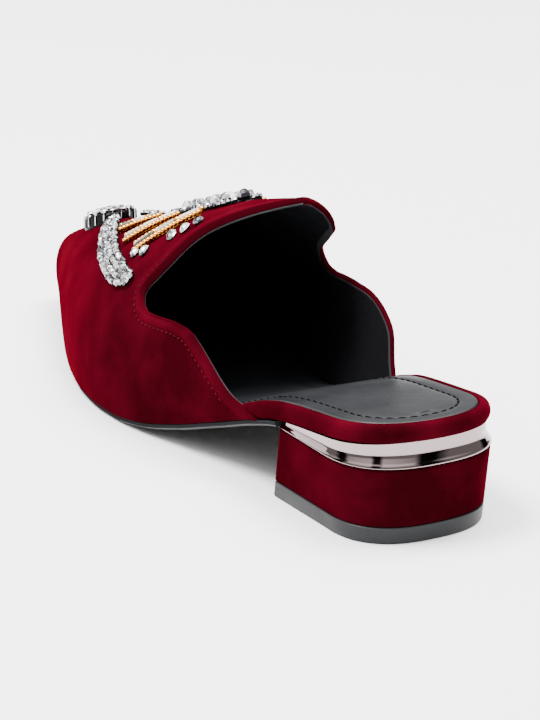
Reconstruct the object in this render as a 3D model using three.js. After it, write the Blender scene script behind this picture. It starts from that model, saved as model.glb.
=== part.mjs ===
// A backless velvet mule for the left foot, standing on its sole. Millimetres, +X to the toe, +Y to the
// outer side of the foot, +Z up. The origin lies on the floor under the middle of the heel.
import * as THREE from "three";
import { mergeVertices } from "three/addons/utils/BufferGeometryUtils.js";

// Main sizes
const TOE_X = 232; // tip of the toe
const SEAT_BACK_X = -25.9; // rearmost point of the heel seat
const FIT_GAP = 0.3; // gap between pieces that meet
const WALL = 2; // velvet, backing and lining together
const SOLE_THICK = 2;
const SEAT_THICK = 5.6; // wrapped rim under the heel
const INSOLE_THICK = 3; // insole under the forefoot
const SOCK_THICK = 0.8;
const SOCK_PAD = 0.3; // extra padding under the heel
const SOCK_MARGIN = 3.5; // rim left showing round the sock
const TOP_PIECE_HIGH = 5.2;
const BLOCK_TOP_Z = 23.6;
const SEAT_ROUND = 2.25; // exponent of the rounded end of the seat
const HEEL_ROUND = 2.5; // exponent of the rounded back of the heel
const WELD = 1e-3; // points closer than this are one point

// Steps along each piece
const HEEL_STEPS = 26;
const INSOLE_STEPS = 44;
const SOCK_STEPS = 48;
const SOLE_STEPS = 48;

// Heel plan at the floor and at the top of the block
const HEEL = {
  floor: { back: -22.1, breast: 30.5, halfBack: 24.1, halfBreast: 25.3 },
  top: { back: -23.9, breast: 25.3, halfBack: 25.9, halfBreast: 26.2 },
};

// Underside of insole and upper along the foot: heel seat, arch, flat ball and toe spring
const BOTTOM = [
  { x: -27, z: 32.2 },
  { x: 0, z: 28.8 },
  { x: 26, z: 25.2 },
  { x: 40, z: 21.3 },
  { x: 58.5, z: 15 },
  { x: 80, z: 8 },
  { x: 97, z: 3.9 },
  { x: 112, z: 2.3 },
  { x: 150, z: 2.3 },
  { x: 168, z: 3.3 },
  { x: 190, z: 6 },
  { x: 212, z: 9.2 },
  { x: 232, z: 13 },
];

// Plan of the last at the feather line: middle and half width
const PLAN = [
  { x: 0, middle: 0, half: 25.7 },
  { x: 15, middle: 0.2, half: 26.1 },
  { x: 27, middle: 0.5, half: 26.5 },
  { x: 40, middle: 1, half: 26.4 },
  { x: 58.5, middle: 2.5, half: 27.5 },
  { x: 80, middle: 3, half: 31 },
  { x: 97.5, middle: 2.5, half: 35 },
  { x: 113, middle: 1.5, half: 37.7 },
  { x: 125, middle: 0.7, half: 38.6 },
  { x: 138, middle: -0.3, half: 37.9 },
  { x: 150, middle: -1, half: 35.7 },
  { x: 160, middle: -1.3, half: 33 },
  { x: 171, middle: -1.5, half: 29.3 },
  { x: 195, middle: -1, half: 19 },
  { x: 212, middle: -0.5, half: 11.4 },
  { x: 223, middle: -0.2, half: 6.8 },
  { x: 229, middle: 0, half: 3.8 },
  { x: 231.3, middle: 0, half: 1.9 },
  { x: 232, middle: 0, half: 0 },
];

// Ridge of the instep, from above the arch to the tip of the toe
const RIDGE = [
  { x: 36, y: -8, z: 87 },
  { x: 60, y: -8, z: 80.5 },
  { x: 73, y: -8, z: 76.6 },
  { x: 86, y: -7.8, z: 73.4 },
  { x: 104, y: -7.2, z: 68.4 },
  { x: 129, y: -6.5, z: 59.6 },
  { x: 150, y: -5.5, z: 52.2 },
  { x: 172, y: -4.5, z: 45.6 },
  { x: 195, y: -2.5, z: 39 },
  { x: 212, y: -1, z: 32.4 },
  { x: 223, y: -0.3, z: 27.3 },
  { x: 229, y: 0, z: 22.8 },
  { x: 232, y: 0, z: 18 },
];

// How each side wall swells: bulge past the feather line, height share of the swell,
// and fullness under the ridge
const SWELL = [
  { x: 36, outBulge: 3, outRise: 0.45, outFull: 0.44, inBulge: 7, inRise: 0.7, inFull: 0.62 },
  { x: 75, outBulge: 5, outRise: 0.45, outFull: 0.5, inBulge: 9, inRise: 0.7, inFull: 0.66 },
  { x: 104, outBulge: 5, outRise: 0.47, outFull: 0.52, inBulge: 5, inRise: 0.7, inFull: 0.66 },
  { x: 150, outBulge: 4, outRise: 0.5, outFull: 0.54, inBulge: 3.5, inRise: 0.58, inFull: 0.58 },
  { x: 195, outBulge: 2.6, outRise: 0.55, outFull: 0.56, inBulge: 2.6, inRise: 0.55, inFull: 0.56 },
  { x: 222, outBulge: 1.5, outRise: 0.5, outFull: 0.55, inBulge: 1.5, inRise: 0.5, inFull: 0.55 },
  { x: 232, outBulge: 0, outRise: 0.5, outFull: 0.55, inBulge: 0, inRise: 0.5, inFull: 0.55 },
];

// Collar line: how far forward the upper is cut away at each share of the girth,
// from the feather line at 0 to the ridge at 1
const COLLAR = [
  { girth: 0, outer: 37.5, inner: 42 },
  { girth: 0.08, outer: 50, inner: 46 },
  { girth: 0.15, outer: 57, inner: 48 },
  { girth: 0.226, outer: 64.3, inner: 54.5 },
  { girth: 0.28, outer: 70, inner: 63 },
  { girth: 0.325, outer: 76, inner: 78 },
  { girth: 0.355, outer: 85, inner: 92 },
  { girth: 0.385, outer: 100.5, inner: 97.8 },
  { girth: 0.42, outer: 105, inner: 99.4 },
  { girth: 0.46, outer: 107, inner: 98.3 },
  { girth: 0.52, outer: 104.5, inner: 90 },
  { girth: 0.58, outer: 102, inner: 83 },
  { girth: 0.66, outer: 100, inner: 81.3 },
  { girth: 0.72, outer: 97.5, inner: 80.8 },
  { girth: 0.78, outer: 92.5, inner: 80.2 },
  { girth: 0.84, outer: 85.5, inner: 79 },
  { girth: 0.9, outer: 78.8, inner: 76.5 },
  { girth: 0.95, outer: 74.8, inner: 74.4 },
  { girth: 1, outer: 73.2, inner: 73.2 },
];

const COLLAR_STEPS = 10; // from the collar line to a common station
const COMMON_X = 126;
const TOE_STEPS = 20; // from there to the toe
const UPPER_STEPS = COLLAR_STEPS + TOE_STEPS;
const GIRTH_STEPS = 22; // feather line to ridge, on each side
// Columns of the upper stand closer together round the notch of the collar
const GIRTH_SPACING = [
  { step: 0, girth: 0 },
  { step: 0.24, girth: 0.24 },
  { step: 0.66, girth: 0.52 },
  { step: 1, girth: 1 },
];

// Smooth curve through two columns of a table that never overshoots its rows.
function columnCurve(rows, from, to) {
  const last = rows.length - 1;
  const secant = (i) => (rows[i + 1][to] - rows[i][to]) / (rows[i + 1][from] - rows[i][from]);
  const slopes = rows.map((row, i) => {
    if (i === 0) return secant(0);
    if (i === last) return secant(last - 1);
    const before = secant(i - 1);
    const after = secant(i);
    return before * after > 0 ? (2 * before * after) / (before + after) : 0;
  });
  return (value) => {
    const x = THREE.MathUtils.clamp(value, rows[0][from], rows[last][from]);
    let i = 0;
    while (i < last - 1 && x > rows[i + 1][from]) i += 1;
    const span = rows[i + 1][from] - rows[i][from];
    const s = (x - rows[i][from]) / span;
    const rise = rows[i + 1][to] - rows[i][to];
    const start = span * slopes[i];
    const end = span * slopes[i + 1];
    return rows[i][to] + s * (start + s * (3 * rise - 2 * start - end + s * (start + end - 2 * rise)));
  };
}

const bottomZ = columnCurve(BOTTOM, "x", "z");
const planMiddle = columnCurve(PLAN, "x", "middle");
const planHalf = columnCurve(PLAN, "x", "half");
const ridgeY = columnCurve(RIDGE, "x", "y");
const ridgeZ = columnCurve(RIDGE, "x", "z");
const girthAtStep = columnCurve(GIRTH_SPACING, "step", "girth");
const outer = {
  sign: 1,
  bulge: columnCurve(SWELL, "x", "outBulge"),
  rise: columnCurve(SWELL, "x", "outRise"),
  full: columnCurve(SWELL, "x", "outFull"),
  collar: columnCurve(COLLAR, "girth", "outer"),
};
const inner = {
  sign: -1,
  bulge: columnCurve(SWELL, "x", "inBulge"),
  rise: columnCurve(SWELL, "x", "inRise"),
  full: columnCurve(SWELL, "x", "inFull"),
  collar: columnCurve(COLLAR, "girth", "inner"),
};

// One closed mesh from quads of points, facing out.
function solidFromQuads(quads) {
  const positions = [];
  for (const [a, b, c, d] of quads) {
    const shorter = a.distanceTo(c) <= b.distanceTo(d);
    const corners = shorter ? [a, b, c, a, c, d] : [a, b, d, b, c, d];
    for (const point of corners) positions.push(point.x, point.y, point.z);
  }
  const raw = new THREE.BufferGeometry();
  raw.setAttribute("position", new THREE.Float32BufferAttribute(positions, 3));
  const welded = mergeVertices(raw, WELD);
  const kept = [];
  for (let i = 0; i < welded.index.count; i += 3) {
    const [a, b, c] = [0, 1, 2].map((k) => welded.index.getX(i + k));
    if (a !== b && b !== c && a !== c) kept.push(a, b, c);
  }
  const at = (i) => new THREE.Vector3().fromBufferAttribute(welded.attributes.position, i);
  let volume = 0;
  for (let i = 0; i < kept.length; i += 3) {
    volume += at(kept[i]).dot(at(kept[i + 1]).cross(at(kept[i + 2])));
  }
  welded.setIndex(volume < 0 ? kept.reverse() : kept);
  welded.computeVertexNormals();
  return welded;
}

// A solid built up in levels. Each level gives its two edge points at a share of the length.
function plate(shares, levels) {
  const rings = levels.map((level) => {
    const pairs = shares.map(level);
    return { pairs, loop: [...pairs.map((p) => p.outer), ...pairs.map((p) => p.inner).reverse()] };
  });
  const quads = [];
  for (let k = 0; k + 1 < rings.length; k += 1) {
    const low = rings[k].loop;
    const high = rings[k + 1].loop;
    low.forEach((point, j) => {
      const next = (j + 1) % low.length;
      quads.push([point, high[j], high[next], low[next]]);
    });
  }
  const first = rings[0].pairs;
  const top = rings[rings.length - 1].pairs;
  for (let i = 0; i + 1 < shares.length; i += 1) {
    quads.push([first[i].outer, first[i + 1].outer, first[i + 1].inner, first[i].inner]);
    quads.push([top[i].outer, top[i].inner, top[i + 1].inner, top[i + 1].outer]);
  }
  return solidFromQuads(quads);
}

// Shares of a length, closer together towards round ends.
function spacedShares(steps, roundStart, roundEnd) {
  return Array.from({ length: steps + 1 }, (_, i) => {
    const s = i / steps;
    if (roundStart && roundEnd) return (1 - Math.cos(Math.PI * s)) / 2;
    if (roundStart) return 1 - Math.cos((Math.PI * s) / 2);
    if (roundEnd) return Math.sin((Math.PI * s) / 2);
    return s;
  });
}

// Half width of the last's plan, drawn in by an inset at the sides and at both round ends.
const TOE_INSET_SHARE = 1.3; // the tip moves back a little more than the sides move in
const NARROW_HALF = 6; // below this half width the inset shrinks with it
const EASE_FROM_X = 120; // the toe is drawn in ahead of this point
function tipX(inset) {
  return TOE_X - inset * TOE_INSET_SHARE;
}
function insetHalf(x, inset) {
  if (x < 0) {
    const reach = Math.min(1, x / (SEAT_BACK_X + inset));
    return (planHalf(0) - inset) * (1 - reach ** SEAT_ROUND) ** (1 / SEAT_ROUND);
  }
  const stretch = (TOE_X - EASE_FROM_X) / (tipX(inset) - EASE_FROM_X);
  const planX = x < EASE_FROM_X ? x : EASE_FROM_X + (x - EASE_FROM_X) * stretch;
  const half = planHalf(planX);
  return half - inset * Math.min(1, half / NARROW_HALF);
}

// Point of the upper: along the foot, on one side, at a share of the girth, at a depth in the wall.
function upperPoint(x, side, girth, depth) {
  const half = insetHalf(x, depth);
  const footY = planMiddle(x) + side.sign * half;
  const footZ = bottomZ(x);
  const topY = ridgeY(x);
  const topZ = ridgeZ(x) - depth;
  const bulge = side.bulge(x) * Math.min(1, half / NARROW_HALF);
  const reach = Math.abs(footY - topY) + bulge;
  const section = new THREE.CubicBezierCurve3(
    new THREE.Vector3(x, footY, footZ),
    new THREE.Vector3(x, footY + side.sign * bulge, footZ + side.rise(x) * (topZ - footZ)),
    new THREE.Vector3(x, topY + side.sign * side.full(x) * reach, topZ),
    new THREE.Vector3(x, topY, topZ),
  );
  return section.getPoint(girth);
}

function upperGeometry() {
  const column = (side, step, depth) => {
    const girth = girthAtStep(step / GIRTH_STEPS);
    return Array.from({ length: UPPER_STEPS + 1 }, (_, i) => {
      const back = THREE.MathUtils.lerp(side.collar(girth), COMMON_X, Math.min(1, i / COLLAR_STEPS));
      const ahead = Math.sin((Math.PI / 2) * Math.max(0, (i - COLLAR_STEPS) / TOE_STEPS));
      const x = THREE.MathUtils.lerp(back, tipX(depth), ahead);
      return upperPoint(x, side, girth, depth);
    });
  };
  const sheet = (depth) => {
    const columns = [];
    for (let j = 0; j <= GIRTH_STEPS; j += 1) columns.push(column(outer, j, depth));
    for (let j = GIRTH_STEPS - 1; j >= 0; j -= 1) columns.push(column(inner, j, depth));
    return columns;
  };
  const skin = sheet(0);
  const lining = sheet(WALL);
  const quads = [];
  const lastColumn = skin.length - 1;
  for (let j = 0; j < lastColumn; j += 1) {
    for (let i = 0; i < UPPER_STEPS; i += 1) {
      quads.push([skin[j][i], skin[j][i + 1], skin[j + 1][i + 1], skin[j + 1][i]]);
      quads.push([lining[j][i], lining[j + 1][i], lining[j + 1][i + 1], lining[j][i + 1]]);
    }
    quads.push([skin[j][0], skin[j + 1][0], lining[j + 1][0], lining[j][0]]);
  }
  for (let i = 0; i < UPPER_STEPS; i += 1) {
    quads.push([skin[0][i], lining[0][i], lining[0][i + 1], skin[0][i + 1]]);
    const [a, b] = [skin[lastColumn], lining[lastColumn]];
    quads.push([a[i], a[i + 1], b[i + 1], b[i]]);
  }
  return solidFromQuads(quads);
}

// Heel plan at a height: flat breast, straight sides, round back.
function heelEdge(share, high, inset) {
  const mix = (key) => THREE.MathUtils.lerp(HEEL.floor[key], HEEL.top[key], high / BLOCK_TOP_Z);
  const back = mix("back") + inset;
  const breast = mix("breast") - inset;
  const x = back + (breast - back) * share;
  const halfBack = mix("halfBack") - inset;
  if (x < 0) {
    const roundness = (1 - Math.min(1, x / back) ** HEEL_ROUND) ** (1 / HEEL_ROUND);
    return { x, half: halfBack * roundness };
  }
  return { x, half: halfBack + (mix("halfBreast") - mix("halfBack")) * (x / breast) };
}
function heelLevel(high, inset, heightAt) {
  return (share) => {
    const { x, half } = heelEdge(share, high, inset);
    const z = heightAt(x);
    return { outer: new THREE.Vector3(x, half, z), inner: new THREE.Vector3(x, -half, z) };
  };
}
const heelShares = spacedShares(HEEL_STEPS, true, false);
const EDGE_BREAK = 0.5;

function topPieceGeometry() {
  return plate(heelShares, [
    heelLevel(0, EDGE_BREAK, () => 0),
    heelLevel(0, 0, () => EDGE_BREAK),
    heelLevel(TOP_PIECE_HIGH, 0, () => TOP_PIECE_HIGH),
  ]);
}
function heelBlockGeometry() {
  const low = TOP_PIECE_HIGH + FIT_GAP;
  return plate(heelShares, [
    heelLevel(low, 0, () => low),
    heelLevel(BLOCK_TOP_Z - EDGE_BREAK, 0, () => BLOCK_TOP_Z - EDGE_BREAK),
    heelLevel(BLOCK_TOP_Z, EDGE_BREAK, () => BLOCK_TOP_Z),
  ]);
}
// Polished wedge between block and seat: thin lip, flared foot and upright band, thickest at the back.
const COLLAR_COVE = [
  { share: 0, inset: -0.3 },
  { share: 0.12, inset: -0.3 },
  { share: 0.3, inset: 0.55 },
  { share: 0.55, inset: 1.2 },
  { share: 1, inset: 1.2 },
];
function heelCollarGeometry() {
  const low = BLOCK_TOP_Z + FIT_GAP;
  const high = (x) => bottomZ(x) - FIT_GAP;
  return plate(
    heelShares,
    COLLAR_COVE.map(({ share, inset }) =>
      heelLevel(BLOCK_TOP_Z, inset, (x) => THREE.MathUtils.lerp(low, high(x), share)),
    ),
  );
}

// Insole, wrapped and full width under the heel, fitted inside the upper ahead of it.
const seatToFore = columnCurve(
  [
    { x: 38, thick: SEAT_THICK },
    { x: 78, thick: INSOLE_THICK },
  ],
  "x",
  "thick",
);
const RIM_ENDS = { from: 3, to: 0.9 }; // the rim draws in over this stretch behind the upper's edge
// Levels of the rim, from below to the recess of the sock: share of the thickness, inset of the edge,
// and girth share of the upper's edge behind which the level draws in
const RIM_LEVELS = [
  { share: 0, inset: 1.8, girth: 0 },
  { share: 0.1, inset: 0.72, girth: 0 },
  { share: 0.3, inset: 0.15, girth: 0.007 },
  { share: 0.5, inset: 0, girth: 0.02 },
  { share: 0.7, inset: 0.15, girth: 0.033 },
  { share: 0.9, inset: 0.72, girth: 0.046 },
  { share: 1, inset: 1.8, girth: 0.059 },
  { share: 1, inset: 2.4, girth: 0.059 },
  { share: 0.78, inset: 3.2, girth: 0.059 },
];
const RECESS = RIM_LEVELS[RIM_LEVELS.length - 1];
function insoleLevel({ share, inset, girth }) {
  return (along) => {
    const x = SEAT_BACK_X + inset + (tipX(WALL + FIT_GAP + inset) - SEAT_BACK_X - inset) * along;
    const z = bottomZ(x) + seatToFore(x) * share;
    const edge = (side) => {
      const start = side.collar(girth);
      const drawnIn = THREE.MathUtils.smoothstep(x, start - RIM_ENDS.from, start - RIM_ENDS.to);
      return planMiddle(x) + side.sign * insetHalf(x, inset + drawnIn * (WALL + FIT_GAP));
    };
    return { outer: new THREE.Vector3(x, edge(outer), z), inner: new THREE.Vector3(x, edge(inner), z) };
  };
}
const RIM_MEETS = { from: 0.236, to: 0.306, steps: 18 }; // shares of the length where rim and upper meet
function insoleGeometry() {
  const meeting = Array.from({ length: RIM_MEETS.steps + 1 }, (_, i) =>
    THREE.MathUtils.lerp(RIM_MEETS.from, RIM_MEETS.to, i / RIM_MEETS.steps),
  );
  const elsewhere = spacedShares(INSOLE_STEPS, true, true).filter(
    (share) => share < RIM_MEETS.from || share > RIM_MEETS.to,
  );
  const shares = [...elsewhere, ...meeting].sort((a, b) => a - b);
  return plate(shares, RIM_LEVELS.map(insoleLevel));
}

// Sock in the insole's recess, a little padded under the heel.
const sockPad = columnCurve(
  [
    { x: -27, pad: 0 },
    { x: -8, pad: SOCK_PAD },
    { x: 20, pad: SOCK_PAD },
    { x: 50, pad: 0 },
  ],
  "x",
  "pad",
);
const SOCK_NARROWS = { from: 36, to: 44 }; // ahead of the heel the sock leaves room for the upper
const SOCK_EDGE = { square: 0.55, inset: 0.7 }; // share of the edge left square, and the draw of its top
function sockLevel(edgeInset, share) {
  return (along) => {
    const frontInset = WALL + SOCK_MARGIN + FIT_GAP + edgeInset;
    const back = SEAT_BACK_X + SOCK_MARGIN + edgeInset;
    const x = back + (tipX(frontInset) - back) * along;
    const lift = seatToFore(x) * RECESS.share + FIT_GAP + share * (SOCK_THICK + sockPad(x));
    const z = bottomZ(x) + lift;
    const narrowed = THREE.MathUtils.smoothstep(x, SOCK_NARROWS.from, SOCK_NARROWS.to);
    const inset = THREE.MathUtils.lerp(back - SEAT_BACK_X, frontInset, narrowed);
    const half = insetHalf(x, inset);
    const middle = planMiddle(x);
    return { outer: new THREE.Vector3(x, middle + half, z), inner: new THREE.Vector3(x, middle - half, z) };
  };
}
function sockGeometry() {
  return plate(spacedShares(SOCK_STEPS, true, true), [
    sockLevel(0, 0),
    sockLevel(0, SOCK_EDGE.square),
    sockLevel(SOCK_EDGE.inset, 1),
  ]);
}

// Outsole from the heel breast to the toe, with a feathered lower edge.
const SOLE_BACK_X = 26.6;
const SOLE_INSET = 0.5;
const SOLE_EDGE = { square: 0.5, feather: 1.6 }; // share of the edge left square, and the draw of its foot
function soleLevel(edgeInset, drop) {
  return (along) => {
    const inset = SOLE_INSET + edgeInset;
    const x = SOLE_BACK_X + (tipX(inset) - SOLE_BACK_X) * along;
    const half = insetHalf(x, inset);
    const z = bottomZ(x) - FIT_GAP - drop * SOLE_THICK;
    const middle = planMiddle(x);
    return { outer: new THREE.Vector3(x, middle + half, z), inner: new THREE.Vector3(x, middle - half, z) };
  };
}
function outsoleGeometry() {
  return plate(spacedShares(SOLE_STEPS, false, true), [
    soleLevel(SOLE_EDGE.feather, 1),
    soleLevel(0, SOLE_EDGE.square),
    soleLevel(0, 0),
  ]);
}

// Jewelled trim on the vamp. Each row is a point of the trim's middle line with its half width,
// along the foot and round the girth.
const TRIM_LIFT = 0.3;
const CRESCENT = [
  { x: 115.5, girth: 0.492, dx: -0.1, dg: 0.014 },
  { x: 122, girth: 0.497, dx: -0.4, dg: 0.038 },
  { x: 134, girth: 0.535, dx: -0.8, dg: 0.05 },
  { x: 149, girth: 0.6, dx: -1.2, dg: 0.05 },
  { x: 164, girth: 0.69, dx: -1.5, dg: 0.044 },
  { x: 177, girth: 0.8, dx: -1.5, dg: 0.036 },
  { x: 184, girth: 0.9, dx: -0.6, dg: 0.012 },
];
const CRESCENT_HIGH = 2.6;
const CRESCENT_STEPS = 18;
const STRIPS = [
  { from: { x: 165, girth: 0.77 }, to: { x: 153, girth: 0.93 } },
  { from: { x: 148, girth: 0.69 }, to: { x: 134, girth: 0.89 } },
  { from: { x: 131, girth: 0.635 }, to: { x: 115, girth: 0.86 } },
];
const STRIP = { high: 1.9, dx: 2, dg: 0.018, steps: 6 };
const RIDGE_BAND = [
  { x: 104.5, spread: 0.05 },
  { x: 108, spread: 0.085 },
  { x: 114, spread: 0.1 },
  { x: 124, spread: 0.09 },
  { x: 138, spread: 0.07 },
  { x: 148, spread: 0.05 },
];
const RIDGE_BAND_HIGH = 2.4;
const RIDGE_BAND_STEPS = 12;
const BUTTON = { x: 197, radius: 8.8, high: 4.8, crown: 1.4, rings: 4, sides: 20 };
const NUDGE = { x: 0.5, girth: 0.01 }; // steps for measuring the slope of the skin
const SEARCH = { girth: 0.4, rounds: 40 }; // lowest girth share and number of halvings

// Point lifted off the skin of the upper along its normal.
function liftedPoint(x, side, girth, lift) {
  const here = upperPoint(x, side, girth, 0);
  const along = upperPoint(x + NUDGE.x, side, girth, 0).sub(here);
  const up = upperPoint(x, side, girth - NUDGE.girth, 0).sub(here);
  const normal = along.cross(up).normalize();
  if (normal.y * side.sign + normal.z < 0) normal.negate();
  return here.addScaledVector(normal, lift);
}

// A band on the skin, from rows of points across it.
function band(rows, high) {
  const low = rows.map((row) => row.map((p) => liftedPoint(p.x, p.side, p.girth, TRIM_LIFT)));
  const top = rows.map((row) => row.map((p) => liftedPoint(p.x, p.side, p.girth, TRIM_LIFT + high)));
  const across = rows[0].length - 1;
  const last = rows.length - 1;
  const quads = [];
  for (let i = 0; i < last; i += 1) {
    for (let j = 0; j < across; j += 1) {
      quads.push([top[i][j], top[i + 1][j], top[i + 1][j + 1], top[i][j + 1]]);
      quads.push([low[i][j], low[i][j + 1], low[i + 1][j + 1], low[i + 1][j]]);
    }
    quads.push([low[i][0], low[i + 1][0], top[i + 1][0], top[i][0]]);
    quads.push([low[i][across], top[i][across], top[i + 1][across], low[i + 1][across]]);
  }
  for (let j = 0; j < across; j += 1) {
    quads.push([low[0][j], top[0][j], top[0][j + 1], low[0][j + 1]]);
    quads.push([low[last][j], low[last][j + 1], top[last][j + 1], top[last][j]]);
  }
  return solidFromQuads(quads);
}
const BAND_SHARES = [-1, 0, 1]; // one edge, the middle line and the other edge
function crescentGeometry(side) {
  const column = (key) => columnCurve(CRESCENT, "x", key);
  const [girthAt, dxAt, dgAt] = [column("girth"), column("dx"), column("dg")];
  const [first, last] = [CRESCENT[0].x, CRESCENT[CRESCENT.length - 1].x];
  const rows = Array.from({ length: CRESCENT_STEPS + 1 }, (_, i) => {
    const x = THREE.MathUtils.lerp(first, last, i / CRESCENT_STEPS);
    return BAND_SHARES.map((k) => ({ x: x + k * dxAt(x), girth: girthAt(x) + k * dgAt(x), side }));
  });
  return band(rows, CRESCENT_HIGH);
}
function stripGeometry(side, { from, to }) {
  const rows = Array.from({ length: STRIP.steps + 1 }, (_, i) => {
    const x = THREE.MathUtils.lerp(from.x, to.x, i / STRIP.steps);
    const girth = THREE.MathUtils.lerp(from.girth, to.girth, i / STRIP.steps);
    return BAND_SHARES.map((k) => ({ x: x + k * STRIP.dx, girth: girth + k * STRIP.dg, side }));
  });
  return band(rows, STRIP.high);
}
function ridgeBandGeometry() {
  const spreadAt = columnCurve(RIDGE_BAND, "x", "spread");
  const [first, last] = [RIDGE_BAND[0].x, RIDGE_BAND[RIDGE_BAND.length - 1].x];
  const rows = Array.from({ length: RIDGE_BAND_STEPS + 1 }, (_, i) => {
    const x = THREE.MathUtils.lerp(first, last, i / RIDGE_BAND_STEPS);
    const spread = spreadAt(x);
    return [
      { x, girth: 1 - spread, side: outer },
      { x, girth: 1 - spread / 2, side: outer },
      { x, girth: 1, side: outer },
      { x, girth: 1 - spread / 2, side: inner },
      { x, girth: 1 - spread, side: inner },
    ];
  });
  return band(rows, RIDGE_BAND_HIGH);
}

// Height of the skin over a point of the plan.
function skinZ(x, y) {
  const side = y > ridgeY(x) ? outer : inner;
  let low = SEARCH.girth;
  let high = 1;
  for (let i = 0; i < SEARCH.rounds; i += 1) {
    const girth = (low + high) / 2;
    if ((upperPoint(x, side, girth, 0).y - y) * side.sign > 0) low = girth;
    else high = girth;
  }
  return upperPoint(x, side, high, 0).z;
}

// Domed button on the toe, its underside fitted to the ridge.
function buttonGeometry() {
  const slope = (ridgeZ(BUTTON.x + NUDGE.x) - ridgeZ(BUTTON.x - NUDGE.x)) / (2 * NUDGE.x);
  const ring = (k, top) =>
    Array.from({ length: BUTTON.sides }, (_, j) => {
      const share = k / BUTTON.rings;
      const turn = (2 * Math.PI * j) / BUTTON.sides;
      const dx = BUTTON.radius * share * Math.cos(turn);
      const x = BUTTON.x + dx;
      const y = ridgeY(BUTTON.x) + BUTTON.radius * share * Math.sin(turn);
      const crownZ = ridgeZ(BUTTON.x) + slope * dx + BUTTON.high - BUTTON.crown * share ** 2;
      return new THREE.Vector3(x, y, top ? crownZ : skinZ(x, y) + TRIM_LIFT);
    });
  const quads = [];
  for (let j = 0; j < BUTTON.sides; j += 1) {
    const next = (j + 1) % BUTTON.sides;
    for (let k = 0; k < BUTTON.rings; k += 1) {
      const [a, b] = [ring(k, true), ring(k + 1, true)];
      quads.push([a[j], b[j], b[next], a[next]]);
      const [c, d] = [ring(k, false), ring(k + 1, false)];
      quads.push([c[j], c[next], d[next], d[j]]);
    }
    const [rim, foot] = [ring(BUTTON.rings, true), ring(BUTTON.rings, false)];
    quads.push([rim[j], foot[j], foot[next], rim[next]]);
  }
  return solidFromQuads(quads);
}

function part(name, geometry, color, roughness, metalness) {
  const mesh = new THREE.Mesh(geometry, new THREE.MeshStandardMaterial({ color, roughness, metalness }));
  mesh.name = name;
  return mesh;
}

const mule = new THREE.Group();
mule.add(
  part("upper", upperGeometry(), 0x7a0a1e, 0.85, 0),
  part("outsole", outsoleGeometry(), 0x3a3c40, 0.6, 0),
  part("insole_board", insoleGeometry(), 0x7a0a1e, 0.85, 0),
  part("sock", sockGeometry(), 0x26282c, 0.45, 0),
  part("heel_block", heelBlockGeometry(), 0x7a0a1e, 0.85, 0),
  part("heel_collar", heelCollarGeometry(), 0x8f8688, 0.12, 1),
  part("top_piece", topPieceGeometry(), 0x4b4e52, 0.7, 0),
);
for (const [label, side] of [
  ["outer", outer],
  ["inner", inner],
]) {
  mule.add(part("crescent_" + label, crescentGeometry(side), 0xd8dade, 0.15, 0.9));
  STRIPS.forEach((strip, i) => {
    mule.add(part("strip_" + label + "_" + (i + 1), stripGeometry(side, strip), 0xd9a650, 0.25, 0.9));
  });
}
mule.add(
  part("ridge_cluster", ridgeBandGeometry(), 0xe4e6ea, 0.1, 0.6),
  part("toe_button", buttonGeometry(), 0x2a2a2e, 0.3, 0.5),
);

export default mule;
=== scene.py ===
import math
import random

import bmesh
import bpy
from mathutils import Matrix, Vector
from mathutils.kdtree import KDTree


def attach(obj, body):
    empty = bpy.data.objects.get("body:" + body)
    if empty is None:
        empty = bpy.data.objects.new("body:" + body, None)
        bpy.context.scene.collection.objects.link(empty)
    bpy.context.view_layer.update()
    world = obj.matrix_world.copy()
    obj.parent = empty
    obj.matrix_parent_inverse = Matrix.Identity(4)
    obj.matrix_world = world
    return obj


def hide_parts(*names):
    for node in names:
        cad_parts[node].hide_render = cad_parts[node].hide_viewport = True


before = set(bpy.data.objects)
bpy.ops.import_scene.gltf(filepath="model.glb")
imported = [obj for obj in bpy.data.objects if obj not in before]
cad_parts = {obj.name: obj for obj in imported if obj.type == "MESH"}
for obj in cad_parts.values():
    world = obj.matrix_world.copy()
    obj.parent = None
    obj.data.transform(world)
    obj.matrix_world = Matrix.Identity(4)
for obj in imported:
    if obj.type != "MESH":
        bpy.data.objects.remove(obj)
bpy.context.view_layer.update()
mm = 0.001  # tables and sizes below are in millimetres, as in the CAD part
rng = random.Random(11)

# Last and main sizes, the same as the CAD part's
last = {
    "toeX": 232.0,
    "seatBackX": -25.9,
    "fitGap": 0.3,
    "wall": 2.0,
    "soleThick": 2.0,
    "seatThick": 5.6,
    "insoleThick": 3.0,
    "sockThick": 0.8,
    "sockPad": 0.3,
    "sockMargin": 3.5,
    "recess": 0.78,
    "topPieceHigh": 5.2,
    "blockTopZ": 23.6,
    "seatRound": 2.25,
    "heelRound": 2.5,
    "toeInsetShare": 1.3,
    "narrowHalf": 6.0,
    "easeFromX": 120.0,
}
heelFloor = {"back": -22.1, "breast": 30.5, "halfBack": 24.1, "halfBreast": 25.3}
heelTop = {"back": -23.9, "breast": 25.3, "halfBack": 25.9, "halfBreast": 26.2}
bottomRows = [  # x, underside height
    (-27, 32.2), (0, 28.8), (26, 25.2), (40, 21.3), (58.5, 15), (80, 8), (97, 3.9),
    (112, 2.3), (150, 2.3), (168, 3.3), (190, 6), (212, 9.2), (232, 13),
]
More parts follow.
